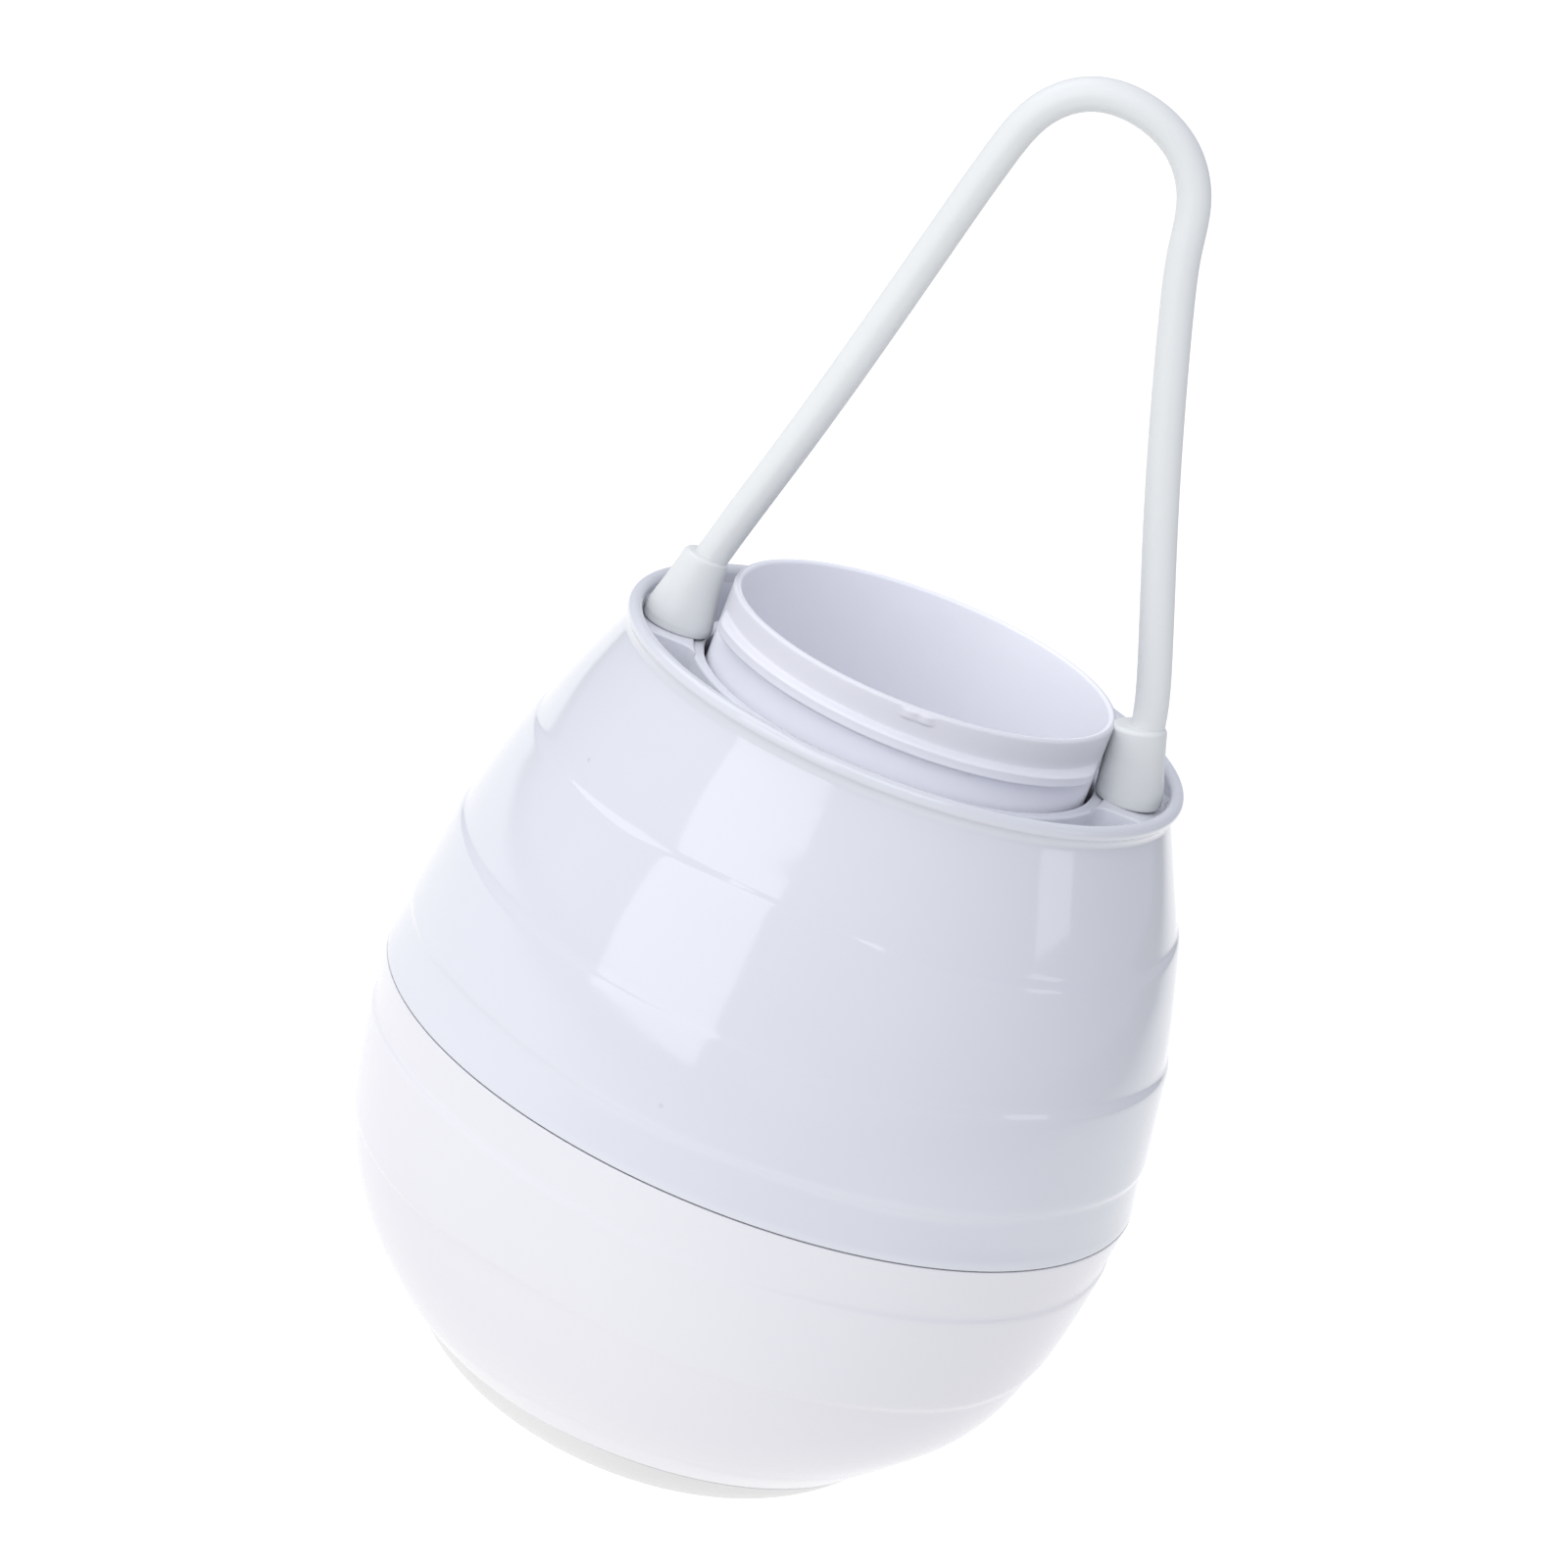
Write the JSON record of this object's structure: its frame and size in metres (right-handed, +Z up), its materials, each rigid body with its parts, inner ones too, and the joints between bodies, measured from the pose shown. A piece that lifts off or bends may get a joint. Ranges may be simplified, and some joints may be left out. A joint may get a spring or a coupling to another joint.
{
  "type": "hanging insect zapper",
  "caption": "Hive-shaped hanging insect zapper: banded white shells round an open threaded chamber with a lift-out grid cartridge and a silicone strap.",
  "frame": {"origin": "centre of the foot, on the surface it stands on", "axes": "+Z up along the body's axis of turning, +X through the two strap plugs, -Y towards the side seen in the picture"},
  "size_m": [0.1318, 0.1318, 0.2398],
  "materials": {
    "gloss_white": "polished white moulding with a cool cast",
    "satin_white": "satin white moulding",
    "neck_plastic": "satin lilac-white moulding",
    "white_silicone": "translucent off-white silicone",
    "grey_silicone": "grey silicone",
    "pad_rubber": "pale non-slip rubber",
    "zinc_steel": "zinc plated",
    "plated_steel": "nickel plated",
    "button_grey": "satin grey moulding",
    "black_plastic": "black moulding",
    "board_green": "green lacquered board",
    "board_white": "white lacquered board",
    "cell_wrap": "shrink-wrapped cell",
    "ferrite": "dark ferrite with a wound bobbin",
    "film_red": "dipped film capacitor",
    "pin_brass": "turned brass",
    "insulator": "satin heat-proof moulding",
    "grid_steel": "bright stainless wire",
    "lamp_glass": "clear lamp sleeve",
    "led_violet": "domed violet emitters"
  },
  "bodies": {
    "housing": {"upper_shell": "gloss_white", "deck_ring": "gloss_white", "lower_shell": "gloss_white", "seam_gasket": "grey_silicone", "chamber_cup": "neck_plastic", "strap_plug_left": "white_silicone", "strap_plug_right": "white_silicone", "base_foot": "satin_white", "foot_pad": "pad_rubber", "base_screws": "zinc_steel", "shell_screws": "zinc_steel", "cup_screws": "zinc_steel", "board_screws": "zinc_steel", "button_seal": "grey_silicone", "power_switch": "black_plastic", "service_board": "board_green", "usb_socket": "plated_steel", "flap_anchor": "grey_silicone", "battery_cradle": "black_plastic", "battery_cell_left": "cell_wrap", "battery_cell_right": "cell_wrap", "battery_tabs": "plated_steel", "main_board": "board_green", "hv_transformer": "ferrite", "hv_capacitor": "film_red", "control_chip": "black_plastic", "contact_pins": "pin_brass"},
    "strap": {"carry_strap": "white_silicone"},
    "button": {"power_button": "button_grey"},
    "port_flap": {"port_cover": "grey_silicone"},
    "cartridge": {"cartridge_hub": "insulator", "outer_grid": "grid_steel", "inner_grid": "grid_steel", "lamp_tube": "lamp_glass", "led_board": "board_white", "led_chips": "led_violet", "cartridge_cap": "insulator"},
    "tray": {"collection_tray": "insulator"},
    "bail": {"lift_bail": "grid_steel"}
  },
  "joints": [
    {"name": "strap_swing", "type": "hinge", "parent": "housing", "child": "strap", "pos_m": [0, 0, 0.147], "axis": [1, 0, 0], "range_deg": [-70, 70], "stiffness_Nm_per_rad": 0.05},
    {"name": "button_press", "type": "slide", "parent": "housing", "child": "button", "axis": [0, 0, 1], "range_m": [0, 0.001], "stiffness_N_per_m": 800},
    {"name": "port_flap_hinge", "type": "hinge", "parent": "housing", "child": "port_flap", "pos_m": [0.0095, 0.0062, 0.0031], "axis": [1, 0, 0], "range_deg": [0, 100], "stiffness_Nm_per_rad": 0.001},
    {"name": "cartridge_lift", "type": "slide", "parent": "housing", "child": "cartridge", "axis": [0, 0, 1], "range_m": [0, 0.055]},
    {"name": "tray_turn", "type": "hinge", "parent": "cartridge", "child": "tray", "pos_m": [0, 0, 0.054], "axis": [0, 0, 1], "range_deg": [0, 40]},
    {"name": "bail_fold", "type": "hinge", "parent": "cartridge", "child": "bail", "pos_m": [0, 0, 0.1102], "axis": [1, 0, 0], "range_deg": [-180, 0]}
  ]
}
